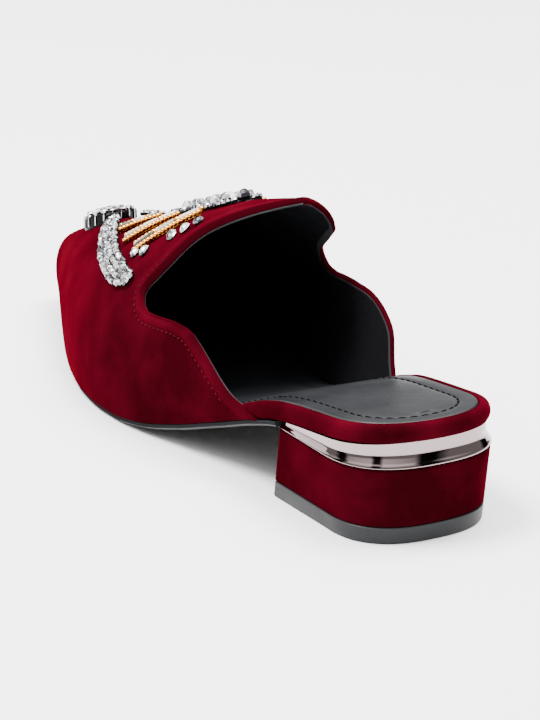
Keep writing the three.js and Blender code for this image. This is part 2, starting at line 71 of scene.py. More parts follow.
planRows = [  # x, middle, half width at the feather line
    (0, 0, 25.7), (15, 0.2, 26.1), (27, 0.5, 26.5), (40, 1, 26.4), (58.5, 2.5, 27.5), (80, 3, 31),
    (97.5, 2.5, 35), (113, 1.5, 37.7), (125, 0.7, 38.6), (138, -0.3, 37.9), (150, -1, 35.7),
    (160, -1.3, 33), (171, -1.5, 29.3), (195, -1, 19), (212, -0.5, 11.4), (223, -0.2, 6.8),
    (229, 0, 3.8), (231.3, 0, 1.9), (232, 0, 0),
]
ridgeRows = [  # x, y, z of the instep's ridge
    (36, -8, 87), (60, -8, 80.5), (73, -8, 76.6), (86, -7.8, 73.4), (104, -7.2, 68.4),
    (129, -6.5, 59.6), (150, -5.5, 52.2), (172, -4.5, 45.6), (195, -2.5, 39), (212, -1, 32.4),
    (223, -0.3, 27.3), (229, 0, 22.8), (232, 0, 18),
]
outSwellRows = [  # x, bulge, rise, fullness of the outer wall
    (36, 3, 0.45, 0.44), (75, 5, 0.45, 0.5), (104, 5, 0.47, 0.52), (150, 4, 0.5, 0.54),
    (195, 2.6, 0.55, 0.56), (222, 1.5, 0.5, 0.55), (232, 0, 0.5, 0.55),
]
inSwellRows = [  # the same of the inner wall
    (36, 7, 0.7, 0.62), (75, 9, 0.7, 0.66), (104, 5, 0.7, 0.66), (150, 3.5, 0.58, 0.58),
    (195, 2.6, 0.55, 0.56), (222, 1.5, 0.5, 0.55), (232, 0, 0.5, 0.55),
]
collarRows = [  # girth share, x of the collar line on the outer side, on the inner side
    (0, 37.5, 42), (0.08, 50, 46), (0.15, 57, 48), (0.226, 64.3, 54.5), (0.28, 70, 63),
    (0.325, 76, 78), (0.355, 85, 92), (0.385, 100.5, 97.8), (0.42, 105, 99.4), (0.46, 107, 98.3),
    (0.52, 104.5, 90), (0.58, 102, 83), (0.66, 100, 81.3), (0.72, 97.5, 80.8), (0.78, 92.5, 80.2),
    (0.84, 85.5, 79), (0.9, 78.8, 76.5), (0.95, 74.8, 74.4), (1, 73.2, 73.2),
]


def curve(rows, column):
    # smooth curve through one column against the first, never past its rows
    xs = [row[0] for row in rows]
    ys = [row[column] for row in rows]
    secants = [(ys[i + 1] - ys[i]) / (xs[i + 1] - xs[i]) for i in range(len(xs) - 1)]
    slopes = [secants[0]]
    for before, after in zip(secants, secants[1:]):
        slopes.append(2 * before * after / (before + after) if before * after > 0 else 0)
    slopes.append(secants[-1])

    def at(value):
        x = min(max(value, xs[0]), xs[-1])
        i = 0
        while i < len(xs) - 2 and x > xs[i + 1]:
            i += 1
        span = xs[i + 1] - xs[i]
        s = (x - xs[i]) / span
        rise = ys[i + 1] - ys[i]
        start = span * slopes[i]
        end = span * slopes[i + 1]
        return ys[i] + s * (start + s * (3 * rise - 2 * start - end + s * (start + end - 2 * rise)))

    return at


def lerp(a, b, t):
    return a + (b - a) * t


def smoothstep(x, low, high):
    t = min(max((x - low) / (high - low), 0), 1)
    return t * t * (3 - 2 * t)


def bell(x, middle, width):
    return math.exp(-(((x - middle) / width) ** 2))


def border(low, high, steps, holds):
    # halves the range until it closes on where the test stops holding
    for _ in range(steps):
        middle = (low + high) / 2
        if holds(middle):
            low = middle
        else:
            high = middle
    return high


bottomZ = curve(bottomRows, 1)
planMiddle = curve(planRows, 1)
planHalf = curve(planRows, 2)
ridgeY = curve(ridgeRows, 1)
ridgeZ = curve(ridgeRows, 2)
outer = {"sign": 1, "collar": curve(collarRows, 1)}
inner = {"sign": -1, "collar": curve(collarRows, 2)}
for side, rows in ((outer, outSwellRows), (inner, inSwellRows)):
    side["bulge"] = curve(rows, 1)
    side["rise"] = curve(rows, 2)
    side["full"] = curve(rows, 3)


def tipX(inset):
    return last["toeX"] - inset * last["toeInsetShare"]


def insetHalf(x, inset):
    power = last["seatRound"]
    if x < 0:
        reach = min(1, x / (last["seatBackX"] + inset))
        return (planHalf(0) - inset) * max(0, 1 - reach**power) ** (1 / power)
    ease = last["easeFromX"]
    stretch = (last["toeX"] - ease) / (tipX(inset) - ease)
    half = planHalf(x if x < ease else ease + (x - ease) * stretch)
    return half - inset * min(1, half / last["narrowHalf"])


def upperPoint(x, side, girth, depth=0):
    # the section of each side is one Bezier arc from the feather line up to the ridge
    sign = side["sign"]
    half = insetHalf(x, depth)
    footY = planMiddle(x) + sign * half
    footZ = bottomZ(x)
    topY = ridgeY(x)
    topZ = ridgeZ(x) - depth
    bulge = side["bulge"](x) * min(1, half / last["narrowHalf"])
    reach = abs(footY - topY) + bulge
    a = (1 - girth) ** 3
    b = 3 * girth * (1 - girth) ** 2
    c = 3 * girth**2 * (1 - girth)
    d = girth**3
    y = a * footY + b * (footY + sign * bulge) + c * (topY + sign * side["full"](x) * reach) + d * topY
    z = a * footZ + b * (footZ + side["rise"](x) * (topZ - footZ)) + (c + d) * topZ
    return Vector((x, y, z))


probe = {"x": 0.5, "girth": 0.01}  # short steps that give the skin's directions


def skinFrame(x, side, girth):
    # point of the skin, its direction along the foot and its normal
    here = upperPoint(x, side, girth)
    along = (upperPoint(x + probe["x"], side, girth) - here).normalized()
    across = (here - upperPoint(x, side, girth - probe["girth"])).normalized()
    normal = along.cross(across).normalized()
    if normal.y * side["sign"] + normal.z < 0:
        normal.negate()
    return here, along, normal


# Materials
napLook = {
    "patchScale": 55,
    "patchDetail": 3,
    "patchRough": 0.55,
    "fibreScale": 2600,
    "fibreDetail": 2,
    "toneRange": (0.33, 0.99, 0.0, 2.0),  # from low, from high, to low, to high
}
grainLook = {
    "cellScale": 950,
    "wanderScale": 60,
    "wanderDetail": 3,
    "roughRange": (0.3, 0.7, 0.36, 0.52),
    "bumpDepth": 0.0002,
}


def newGroup(name, inputs, outputs):
    group = bpy.data.node_groups.new(name, "ShaderNodeTree")
    for direction, sockets in (("INPUT", inputs), ("OUTPUT", outputs)):
        for label, kind in sockets:
            group.interface.new_socket(label, in_out=direction, socket_type="NodeSocket" + kind)
    start = group.nodes.new("NodeGroupInput")
    end = group.nodes.new("NodeGroupOutput")
    return group, start, end


def addNoise(group, scale, detail, rough=0.5):
    coords = group.nodes.new("ShaderNodeTexCoord")
    noise = group.nodes.new("ShaderNodeTexNoise")
    noise.inputs["Scale"].default_value = scale
    noise.inputs["Detail"].default_value = detail
    noise.inputs["Roughness"].default_value = rough
    group.links.new(coords.outputs["Object"], noise.inputs["Vector"])
    return noise


def addRange(tree, socket, low, high, toLow=0.0, toHigh=1.0):
    node = tree.nodes.new("ShaderNodeMapRange")
    node.inputs["From Min"].default_value = low
    node.inputs["From Max"].default_value = high
    node.inputs["To Min"].default_value = toLow
    node.inputs["To Max"].default_value = toHigh
    tree.links.new(socket, node.inputs["Value"])
    return node.outputs["Result"]


def addMath(tree, operation, a, b):
    node = tree.nodes.new("ShaderNodeMath")
    node.operation = operation
    for socket, value in zip(node.inputs, (a, b)):
        if isinstance(value, (int, float)):
            socket.default_value = value
        else:
            tree.links.new(value, socket)
    return node.outputs["Value"]


def addMix(group, factor, a, b):
    node = group.nodes.new("ShaderNodeMix")
    node.data_type = "RGBA"
    node.clamp_factor = False
    group.links.new(factor, node.inputs["Factor"])
    group.links.new(a, node.inputs["A"])
    group.links.new(b, node.inputs["B"])
    return node.outputs["Result"]


def napGroup():
    # brushed pile: two tones in soft patches, shifted by the painted light and shade on the mesh, and a
    # fine fibre height
    group, start, end = newGroup(
        "nap", [("Deep", "Color"), ("Lit", "Color")], [("Color", "Color"), ("Height", "Float")]
    )
    patches = addNoise(group, napLook["patchScale"], napLook["patchDetail"], napLook["patchRough"])
    fibres = addNoise(group, napLook["fibreScale"], napLook["fibreDetail"])
    paintedLight = group.nodes.new("ShaderNodeAttribute")
    paintedLight.attribute_name = "paintedLight"
    # noise patches plus the painted light and shade of the mesh pick the tone
    lean = addMath(group, "ADD", patches.outputs["Fac"], paintedLight.outputs["Fac"])
    tone = addRange(group, lean, *napLook["toneRange"])
    colour = addMix(group, tone, start.outputs["Deep"], start.outputs["Lit"])
    group.links.new(colour, end.inputs["Color"])
    group.links.new(fibres.outputs["Fac"], end.inputs["Height"])
    return group


def grainGroup():
    # pebbled leather: cell height, and roughness that wanders a little
    group, _, end = newGroup("grain", [], [("Height", "Float"), ("Roughness", "Float")])
    coords = group.nodes.new("ShaderNodeTexCoord")
    cells = group.nodes.new("ShaderNodeTexVoronoi")
    cells.inputs["Scale"].default_value = grainLook["cellScale"]
    group.links.new(coords.outputs["Object"], cells.inputs["Vector"])
    wander = addNoise(group, grainLook["wanderScale"], grainLook["wanderDetail"])
    roughness = addRange(group, wander.outputs["Fac"], *grainLook["roughRange"])
    group.links.new(cells.outputs["Distance"], end.inputs["Height"])
    group.links.new(roughness, end.inputs["Roughness"])
    return group


groups = {"nap": napGroup(), "grain": grainGroup()}


def newMaterial(name, look):
    material = bpy.data.materials.new(name)
    material.use_nodes = True
    shader = material.node_tree.nodes["Principled BSDF"]
    for socket, value in look.items():
        shader.inputs[socket].default_value = value
    return material, shader


def useGroup(material, shader, kind, colours, bump, depth):
    nodes, links = material.node_tree.nodes, material.node_tree.links
    effect = nodes.new("ShaderNodeGroup")
    effect.node_tree = groups[kind]
    for socket, value in colours.items():
        effect.inputs[socket].default_value = value
    for output, target in (("Color", "Base Color"), ("Roughness", "Roughness")):
        if output in effect.outputs:
            links.new(effect.outputs[output], shader.inputs[target])
    bumps = nodes.new("ShaderNodeBump")
    bumps.inputs["Strength"].default_value = bump
    bumps.inputs["Distance"].default_value = depth
    links.new(effect.outputs["Height"], bumps.inputs["Height"])
    links.new(bumps.outputs["Normal"], shader.inputs["Normal"])


velvetLook = {
    "deep": (0.019, 0.0006, 0.002, 1),
    "lit": (0.04, 0.0012, 0.0042, 1),
    "bump": 0.35,
    "bumpDepth": 0.0003,
    "shader": {
        "Roughness": 0.9,
        "Specular IOR Level": 0.0,
        "Sheen Weight": 0.1,
        "Sheen Roughness": 0.3,
        "Sheen Tint": (1.0, 0.01, 0.05, 1),
    },
}


def velvetMaterial(name):
    material, shader = newMaterial(name, velvetLook["shader"])
    tones = {"Deep": velvetLook["deep"], "Lit": velvetLook["lit"]}
    useGroup(material, shader, "nap", tones, velvetLook["bump"], velvetLook["bumpDepth"])
    return material


def leatherMaterial(name, colour, bump, gloss):
    material, shader = newMaterial(name, {"Base Color": colour, "Specular IOR Level": gloss})
    useGroup(material, shader, "grain", {}, bump, grainLook["bumpDepth"])
    return material


def plainMaterial(name, colour, roughness, metallic=0.0, specular=0.5):
    look = {"Base Color": colour, "Roughness": roughness}
    look.update({"Metallic": metallic, "Specular IOR Level": specular})
    return newMaterial(name, look)[0]


stoneLook = {"darkTo": 0.38, "brightFrom": 0.76, "shader": {"Metallic": 0.3, "Roughness": 0.05}}


def stoneMaterial(name, dark, bright):
    # cut glass on foil: every facet also gets a painted glint, dark or bright, over its real reflection
    material, shader = newMaterial(name, stoneLook["shader"])
    nodes, links = material.node_tree.nodes, material.node_tree.links
    paintedGlint = nodes.new("ShaderNodeAttribute")
    paintedGlint.attribute_name = "paintedGlint"
    ramp = nodes.new("ShaderNodeValToRGB")
    low, high = ramp.color_ramp.elements
    low.color = dark
    low.position = stoneLook["darkTo"]
    high.color = bright
    high.position = stoneLook["brightFrom"]
    links.new(paintedGlint.outputs["Fac"], ramp.inputs["Fac"])
    links.new(ramp.outputs["Color"], shader.inputs["Base Color"])
    return material


mats = {
    "velvet": velvetMaterial("velvet"),
    "lining": leatherMaterial("lining", (0.007, 0.007, 0.0085, 1), 0.15, 0.1),
    "liningEdge": plainMaterial("lining_edge", (0.026, 0.026, 0.029, 1), 0.6),
    "sock": leatherMaterial("sock_leather", (0.0046, 0.0051, 0.0064, 1), 0.25, 0.34),
    "thread": plainMaterial("dark_thread", (0.001, 0.001, 0.0012, 1), 0.9, specular=0.0),
    "stitch": plainMaterial("pale_thread", (0.06, 0.008, 0.01, 1), 0.8, specular=0.0),
    "mirror": plainMaterial("mirror_metal", (0.27, 0.212, 0.212, 1), 0.03, metallic=1.0),
    "rubber": leatherMaterial("rubber", (0.013, 0.0138, 0.0152, 1), 0.1, 0.2),
    "sole": leatherMaterial("sole_resin", (0.012, 0.0125, 0.0135, 1), 0.2, 0.3),
    "soleEdge": plainMaterial("sole_edge", (0.016, 0.0165, 0.018, 1), 0.7, specular=0.0),
    "stone": stoneMaterial("cut_stone", (0.02, 0.02, 0.025, 1), (0.62, 0.61, 0.62, 1)),
    "clear": stoneMaterial("clear_stone", (0.08, 0.09, 0.1, 1), (0.95, 0.97, 1.0, 1)),
    "silver": plainMaterial("silver", (0.4, 0.4, 0.42, 1), 0.22, metallic=1.0),
    "gold": plainMaterial("gold", (0.75, 0.36, 0.06, 1), 0.25, metallic=1.0),
    "jet": plainMaterial("jet", (0.003, 0.003, 0.0035, 1), 0.3, specular=0.06),
}
print("materials ready")


# Making and handing over a piece
paintedLightPatches = [  # painted light and shade in patches: middle, reach, lighter or darker
    ((72, 32, 20), 22, -0.09), ((112, 40, 12), 24, -0.07), ((165, 33, 28), 30, 0.08),
    ((135, 40, 40), 20, 0.04), ((-22, 8, 12), 24, -0.12), ((20, 27, 12), 20, -0.18),
    ((14, 27, 22), 9, 0.08), ((-14, 22, 13), 7, 0.12), ((-8, 25, 33), 7, 0.2),
    ((-25, 4, 35), 6, 0.16), ((-15, -20, 34), 8, 0.16), ((10, 26, 32), 7, -0.12),
    ((-20, 16, 34), 5, -0.12),
]
shortestEdge = 0.001


# painted light and shade: patches of it go into a vertex attribute that the velvet reads
def paintLightAndShade(bm):
    paintedLight = bm.verts.layers.float.get("paintedLight") or bm.verts.layers.float.new("paintedLight")
    for vert in bm.verts:
        for middle, reach, shift in paintedLightPatches:
            vert[paintedLight] += shift * bell((vert.co / mm - Vector(middle)).length, 0, reach)


def sheetGrid(bm, uSteps, vSteps, pointAt):
    made = bmesh.ops.create_grid(bm, x_segments=uSteps, y_segments=vSteps, size=0.5)["verts"]
    for vert in made:
        u = round((vert.co.x + 0.5) * uSteps) / uSteps
        v = round((vert.co.y + 0.5) * vSteps) / vSteps
        vert.co = pointAt(u, v) * mm
    return made


def toMesh(bm, name):
    mesh = bpy.data.meshes.new(name)
    bm.to_mesh(mesh)
    bm.free()
    return mesh


def addObject(name, data):
    thing = bpy.data.objects.new(name, data)
    bpy.context.scene.collection.objects.link(thing)
    return thing


def finishPiece(bm, name, materials, nodes=(), smoothTo=40, weld=0.02):
    bmesh.ops.remove_doubles(bm, verts=bm.verts, dist=weld * mm)
    bmesh.ops.dissolve_degenerate(bm, edges=bm.edges, dist=shortestEdge * mm)
    bmesh.ops.recalc_face_normals(bm, faces=bm.faces)
    # velvet pieces get the painted light and shade patches
    if materials[0] == "velvet":
        paintLightAndShade(bm)
    mesh = toMesh(bm, name)
    for material in materials:
        mesh.materials.append(mats[material])
    if smoothTo > 0:
        mesh.polygons.foreach_set("use_smooth", [True] * len(mesh.polygons))
        mesh.set_sharp_from_angle(angle=math.radians(smoothTo))
    piece = addObject(name, mesh)
    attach(piece, "root")
    if nodes:
        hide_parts(*nodes)
    return piece


# Upper: outer skin and lining drawn as two sheets, joined along their edges
upper = {
    "girthSteps": 110,
    "collarRows": 56,
    "toeRows": 56,
    "rowEase": 1.3,  # rows lie closer together near the collar
    "commonX": 126.0,
    "collarSteps": 800,
    "foldReach": 16,
    "footFade": 6,
    "edgeRound": 0.6,
    "edgeWide": 1.4,
    "edgeBulge": 0.5,
    "edgeCuts": 3,
    "stitchIn": 3.6,
    "stitchDent": 0.5,
    "stitchWide": 0.9,
    "rollIn": 1.9,
    "rollHigh": 0.45,
    "rollWide": 1.4,
    "throatZ": (38, 55),
    # painted highlight on the collar's roll and painted shade at its edge
    "paintedLightShift": 0.26,
    "paintedHighlightIn": (2.2, 5.0),  # where the painted highlight lies, below the throat and at the throat
    "paintedHighlightWide": 1.7,
    "shadeWide": 2.2,
    "liningEdge": 0.5,
    "liningFrom": 1.2,
    "toeSlack": 0.01,
}
girthAt = curve([(0, 0), (0.24, 0.24), (0.66, 0.52), (1, 1)], 1)


def pointTree(points):
    tree = KDTree(len(points))
    for i, point in enumerate(points):
        tree.insert(point, i)
    tree.balance()
    return tree


collarShares = [i / upper["collarSteps"] for i in range(upper["collarSteps"] + 1)]
collarDistance = pointTree(
    [upperPoint(side["collar"](g), side, g) for side in (outer, inner) for g in collarShares]
)


def fromCollar(point):
    return collarDistance.find(point)[2]


def sideAt(u):
    return (outer, girthAt(2 * u)) if u <= 0.5 else (inner, girthAt(2 - 2 * u))


def upperX(side, girth, v, depth):
    i = v * (upper["collarRows"] + upper["toeRows"])
    back = min(1, i / upper["collarRows"])
    ahead = max(0, (i - upper["collarRows"]) / upper["toeRows"])
    x = lerp(side["collar"](girth), upper["commonX"], back ** upper["rowEase"])
    return lerp(x, tipX(depth), math.sin(math.pi / 2 * ahead))


def foldCollar(skin, paintedLight):
    # edge turned in, a soft roll with a painted highlight along it, painted shade along the edge near
    # the throat, and a crease at the stitches behind
    for vert in skin:
        d = fromCollar(vert.co / mm)
        if d > upper["foldReach"]:
            continue
        z = vert.co.z / mm
        high = smoothstep(z, *upper["throatZ"])
        # painted highlight on the roll, minus painted shade at the edge near the throat
        lit = bell(d, lerp(*upper["paintedHighlightIn"], high), upper["paintedHighlightWide"])
        vert[paintedLight] = upper["paintedLightShift"] * (lit - high * bell(d, 0, upper["shadeWide"]))
        lift = -upper["edgeRound"] * (1 - min(1, d / upper["edgeWide"])) ** 2
        lift -= upper["stitchDent"] * bell(d, upper["stitchIn"], upper["stitchWide"])
        lift += upper["rollHigh"] * bell(d, upper["rollIn"], upper["rollWide"])
        foot = bottomZ(vert.co.x / mm)
        vert.co += vert.normal * lift * mm * smoothstep(z, foot, foot + upper["footFade"])


def rollEdge(bm, rungs, wall):
    # the cut edge of the wall swells into a soft roll along the collar
    ends = {v for f in wall for v in f.verts}
    bmesh.ops.recalc_face_normals(bm, faces=bm.faces)
    made = bmesh.ops.subdivide_edges(bm, edges=rungs, cuts=upper["edgeCuts"], use_grid_fill=True)
    bm.normal_update()
    for vert in made["geom_inner"]:
        if not isinstance(vert, bmesh.types.BMVert) or vert in ends:
            continue
        near = fromCollar(vert.co / mm) / last["wall"]
        vert.co += vert.normal * upper["edgeBulge"] * mm * max(0, 4 * near * (1 - near))
        if vert.co.y / mm < ridgeY(vert.co.x / mm):
            continue  # on the inner side the velvet is turned right over the edge
        for face in vert.link_faces:
            if all(fromCollar(v.co / mm) > upper["liningFrom"] for v in face.verts):
                face.material_index = 2


def paintLining(faces):
    for face in faces:
        d = max(fromCollar(v.co / mm) for v in face.verts)
        face.material_index = 2 if d < last["wall"] + upper["liningEdge"] else 1


def makeUpper():
    bm = bmesh.new()
    paintedLight = bm.verts.layers.float.new("paintedLight")
    steps = 2 * upper["girthSteps"]
    rows = upper["collarRows"] + upper["toeRows"]

    def sheetAt(depth):
        def pointAt(u, v):
            side, girth = sideAt(u)
            return upperPoint(upperX(side, girth, v, depth), side, girth, depth)

        return pointAt

    lining = sheetGrid(bm, steps, rows, sheetAt(last["wall"]))
    bmesh.ops.reverse_faces(bm, faces=bm.faces)
    liningFaces = list(bm.faces)
    skin = sheetGrid(bm, steps, rows, sheetAt(0))
    # the grid's own order gives each edge point of the skin its partner on the lining
    partner = {skinVert: liningVert.co.copy() for skinVert, liningVert in zip(skin, lining)}
    bm.normal_update()
    foldCollar(skin, paintedLight)
    paintLining(liningFaces)
    toeX = (last["toeX"] - upper["toeSlack"]) * mm
    edges = [e for e in bm.edges if e.is_boundary and e.verts[0] in partner and e.verts[1] in partner]
    edges = [e for e in edges if min(v.co.x for v in e.verts) < toeX]
    ends = list(dict.fromkeys(v for e in edges for v in e.verts))
    targets = [partner[v] for v in ends]
    tree = pointTree([v.co.copy() for v in ends])
    grown = bmesh.ops.extrude_edge_only(bm, edges=edges)["geom"]
    wall = [f for f in grown if isinstance(f, bmesh.types.BMFace)]
    rungs = [e for f in wall for e in f.edges if (e.verts[0] in partner) != (e.verts[1] in partner)]
    for made in grown:
        if isinstance(made, bmesh.types.BMVert):
            made.co = targets[tree.find(made.co)[1]]
    rollEdge(bm, list(dict.fromkeys(rungs)), wall)
    looks = ["velvet", "lining", "liningEdge"]
    finishPiece(bm, "velvet_upper", looks, ["upper"], smoothTo=60, weld=0.004)


makeUpper()
print("upper done")


# Flat pieces: outlines of the plan stacked through a profile of inset, height share, width share, lift
def planAlong(u, spacing):
    turn = 2 * u if u <= 0.5 else 2 - 2 * u
    return (1 - math.cos(math.pi * spacing(turn))) / 2


def planPiece(profile, steps, pointAt, spacing):
    bm = bmesh.new()
    count = len(profile) - 1

    def at(u, v):
        return pointAt(planAlong(u, spacing), outer if u <= 0.5 else inner, *profile[round(v * count)])

    sheetGrid(bm, steps, count, at)
    return bm


def roundEdge(inset, steps):
    rows = []
    for i in range(steps + 1):
        turn = math.pi * (i / steps - 0.5)
        rows.append((inset * (1 - math.cos(turn)), 0.5 + 0.5 * math.sin(turn), 1, 0))
    return rows


rim = {
    "steps": 420,
    "edgeSteps": 26,
    "round": 1.9,
    "puff": 0.3,
    "puffFade": (26, 36),  # x where the puff ends
    "wing": 0.066,
    "drawFrom": 1.7,
    "drawTo": 0.5,
    "topIn": 0.4,
    "lipIn": 0.35,
    "lipPuff": 0.4,
    "lipFoot": (0.08, 0.93),  # inset from the recess, height share
    "floorWidths": (0.6, 0.3, 0),
}
evenSpacing = curve([(0, 0), (1, 1)], 1)
rimSpacing = curve([(0, 0), (0.28, 0.324), (0.62, 0.374), (1, 1)], 1)  # closer where rim and wings meet
seatToFore = curve([(38, last["seatThick"]), (78, last["insoleThick"])], 1)  # insole's thickness at x


def rimPoint(along, side, inset, share, width, lift):
    back = last["seatBackX"] + inset
    x = lerp(back, tipX(last["wall"] + last["fitGap"] + inset), along)
    start = side["collar"](rim["wing"] * share)
    drawn = smoothstep(x, start - rim["drawFrom"], start - rim["drawTo"])
    half = insetHalf(x, inset + drawn * (last["wall"] + last["fitGap"]))
    puff = lift * (1 - smoothstep(x, *rim["puffFade"]))
    y = planMiddle(x) + side["sign"] * width * half
    return Vector((x, y, bottomZ(x) + seatToFore(x) * share + puff))


def makeRim():
    r = rim["round"]
    puff = rim["puff"]
    wall = last["sockMargin"] - last["fitGap"]
    low = last["recess"]
    footIn, footHigh = rim["lipFoot"]
    profile = [(r, 0, 0, 0), (r, 0, 0.5, 0)] + roundEdge(r, rim["edgeSteps"])
    profile += [(r + rim["topIn"], 1, 1, puff), (wall - rim["lipIn"], 1, 1, puff * rim["lipPuff"])]
    profile += [(wall - footIn, footHigh, 1, 0), (wall, low, 1, 0)]
    profile += [(wall, low, width, 0) for width in rim["floorWidths"]]
    bm = planPiece(profile, rim["steps"], rimPoint, rimSpacing)
    for face in bm.faces:
        centre = face.calc_center_median() / mm
        side = outer if centre.y > planMiddle(centre.x) else inner
        face.material_index = 1 if centre.x > side["collar"](rim["wing"]) else 0  # bare inside the upper
    finishPiece(bm, "velvet_insole", ["velvet", "lining"], ["insole_board"], smoothTo=50)


sock = {
    "fill": 0.9,
    "steps": 260,
    "edgeRows": ((0, 0), (0, 0.3), (0.12, 0.65), (0.35, 0.9), (0.6, 1)),  # inset, height share
    "stitchIn": 5.6,
    "stitchFromX": 62.0,
    "groove": 0.25,
    "grooveHalf": 0.35,
    "grooveWide": 0.9,
    "crownIn": 2.5,
    "crown": (0.05, 0.15, 0.25),
    "crownWidths": (0.75, 0.5, 0.25, 0),
    "narrow": (36, 44),  # x where the sock draws in to pass between the walls
}
padAt = curve([(-27, 0), (-8, last["sockPad"]), (20, last["sockPad"]), (50, 0)], 1)


def sockPoint(along, side, inset, share, width, lift):
    front = last["wall"] + last["sockMargin"] + last["fitGap"] + inset
    back = last["seatBackX"] + last["sockMargin"] + inset
    x = lerp(back, tipX(front), along)
    margin = lerp(back - last["seatBackX"], front, smoothstep(x, *sock["narrow"]))
    y = planMiddle(x) + side["sign"] * width * insetHalf(x, margin)
    high = seatToFore(x) * last["recess"] + last["fitGap"] + share * (last["sockThick"] + padAt(x))
    return Vector((x, y, bottomZ(x) + high + lift))


def makeSock():
    at = sock["stitchIn"]
    groove, half, wide = sock["groove"], sock["grooveHalf"], sock["grooveWide"]
    crownAt = at + sock["crownIn"]
    low, shoulder, top = sock["crown"]
    profile = [(0, 0, 0, 0), (0, 0, 0.5, 0)]
    profile += [(inset, share, 1, 0) for inset, share in sock["edgeRows"]]
    profile += [(at - wide, 1, 1, 0), (at - half, 1, 1, -0.5 * groove), (at, 1, 1, -groove)]
    profile += [(at + half, 1, 1, -0.5 * groove), (at + wide, 1, 1, low), (crownAt, 1, 1, shoulder)]
    profile += [(crownAt, 1, width, top) for width in sock["crownWidths"]]
    bm = planPiece(profile, sock["steps"], sockPoint, evenSpacing)
    piece = finishPiece(bm, "leather_sock", ["sock"], ["sock"], smoothTo=60)


outsole = {
    "backX": 26.6,
    "steps": 240,
    "inset": 0.5,
    "feather": 1.4,
    "edgeRows": ((1, 1), (0.45, 0.85), (0.1, 0.6), (0, 0.3), (0, 0)),  # feather share, depth share
    "underWidths": (0, 0.33, 0.66),
    "edgeTilt": 0.6,
}


def solePoint(along, side, inset, drop, width, lift):
    margin = outsole["inset"] + inset
    x = lerp(outsole["backX"], tipX(margin), along)
    y = planMiddle(x) + side["sign"] * width * insetHalf(x, margin)
    return Vector((x, y, bottomZ(x) - last["fitGap"] - drop * last["soleThick"] + lift))


def makeOutsole():
    feather = outsole["feather"]
    profile = [(feather, 1, width, 0) for width in outsole["underWidths"]]
    profile += [(feather * share, drop, 1, 0) for share, drop in outsole["edgeRows"]]
    profile += [(0, 0, 0.5, 0), (0, 0, 0, 0)]
    bm = planPiece(profile, outsole["steps"], solePoint, evenSpacing)
    bm.normal_update()
    for face in bm.faces:
        face.material_index = 1 if abs(face.normal.z) < outsole["edgeTilt"] else 0
    for face in bmesh.ops.holes_fill(bm, edges=bm.edges, sides=0)["faces"]:
        face.material_index = 1
    finishPiece(bm, "sole", ["sole", "soleEdge"], ["outsole"])


makeRim()
makeSock()
makeOutsole()
print("insole, sock and sole done")


# Heel: outlines with a flat breast and round back, stacked
heel = {
    "corner": 1.6,
    "sideSteps": 40,
    "breastSteps": 16,
    "blockSteps": 5,
    "collarSteps": 14,
    "floorIn": 0.5,
    "floorRows": ((0.15, 0.15), (0, 0.5)),  # inset, height
    "seamRound": 0.25,
    "blockEdge": 0.3,
    "topRound": 1.1,
    "topTurns": (0.5, 1.0, 1.57),
}
coveRows = [  # share of height, inset
    (0, -0.3), (0.06, -0.3), (0.1, -0.05), (0.26, 0.5), (0.5, 1.15), (0.6, 1.2), (1, 1.2),
]


def heelPoint(share, across, high, inset):
    mix = {key: lerp(heelFloor[key], heelTop[key], high / last["blockTopZ"]) for key in heelFloor}
    back = mix["back"] + inset
    breast = mix["breast"] - inset
    x = lerp(back, breast, share)
    power = last["heelRound"]
    half = mix["halfBack"] - inset
    if x < 0:
        half *= max(0, 1 - min(1, x / back) ** power) ** (1 / power)
    else:
        half += (mix["halfBreast"] - mix["halfBack"]) * x / breast
    corner = heel["corner"]
    short = max(0, x - (breast - corner))
    half -= corner - math.sqrt(max(0, corner**2 - short**2))
    return x, half * across


def heelOutline():
    # share of the length and side, once round from the back
    steps = heel["sideSteps"]
    shares = [(1 - math.cos(math.pi * i / steps)) / 2 for i in range(steps + 1)]
    around = [(share, 1) for share in shares]
    around += [(1, 1 - 2 * i / heel["breastSteps"]) for i in range(1, heel["breastSteps"])]
    return around + [(share, -1) for share in reversed(shares)]


def heelPiece(levels, heightAt=lambda x, rise: rise):
    # each level is nominal height, inset, width share and the rise that heightAt turns into a height
    bm = bmesh.new()
    around = heelOutline()
    count = len(around) - 1

    def at(u, v):
        share, across = around[round(u * count)]
        high, inset, width, rise = levels[round(v * (len(levels) - 1))]
        x, y = heelPoint(share, across * width, high, inset)
        return Vector((x, y, heightAt(x, rise)))

    sheetGrid(bm, count, len(levels) - 1, at)
    return bm


def collarHeight(x, rise):
    return lerp(last["blockTopZ"] + last["fitGap"], bottomZ(x) - last["fitGap"], rise)


def makeTopPiece():
    high = last["topPieceHigh"]
    seam = heel["seamRound"]
    levels = [(0, heel["floorIn"], width, 0) for width in (0, 0.5, 1)]
    levels += [(0, inset, 1, z) for inset, z in heel["floorRows"]]
    levels += [(high, 0, 1, high - seam)]
    levels += [(high, seam, width, high) for width in (1, 0.5, 0)]
    bm = heelPiece(levels)
    finishPiece(bm, "rubber_top_piece", ["rubber"], ["top_piece"], smoothTo=35)


def makeBlock():
    low = last["topPieceHigh"] + last["fitGap"]
    top = last["blockTopZ"]
    edge, r, steps = heel["blockEdge"], heel["topRound"], heel["blockSteps"]
    levels = [(low, edge, width, low) for width in (0, 0.5, 1)] + [(low, 0, 1, low + edge)]
    for i in range(1, steps + 1):
        levels.append((lerp(low, top, i / steps), 0, 1, lerp(low, top - r, i / steps)))
    levels += [(top, r * (1 - math.cos(t)), 1, top - r + r * math.sin(t)) for t in heel["topTurns"]]
    levels += [(top, r, width, top) for width in (0.5, 0)]
    bm = heelPiece(levels)
    finishPiece(bm, "velvet_heel", ["velvet"], ["heel_block"])


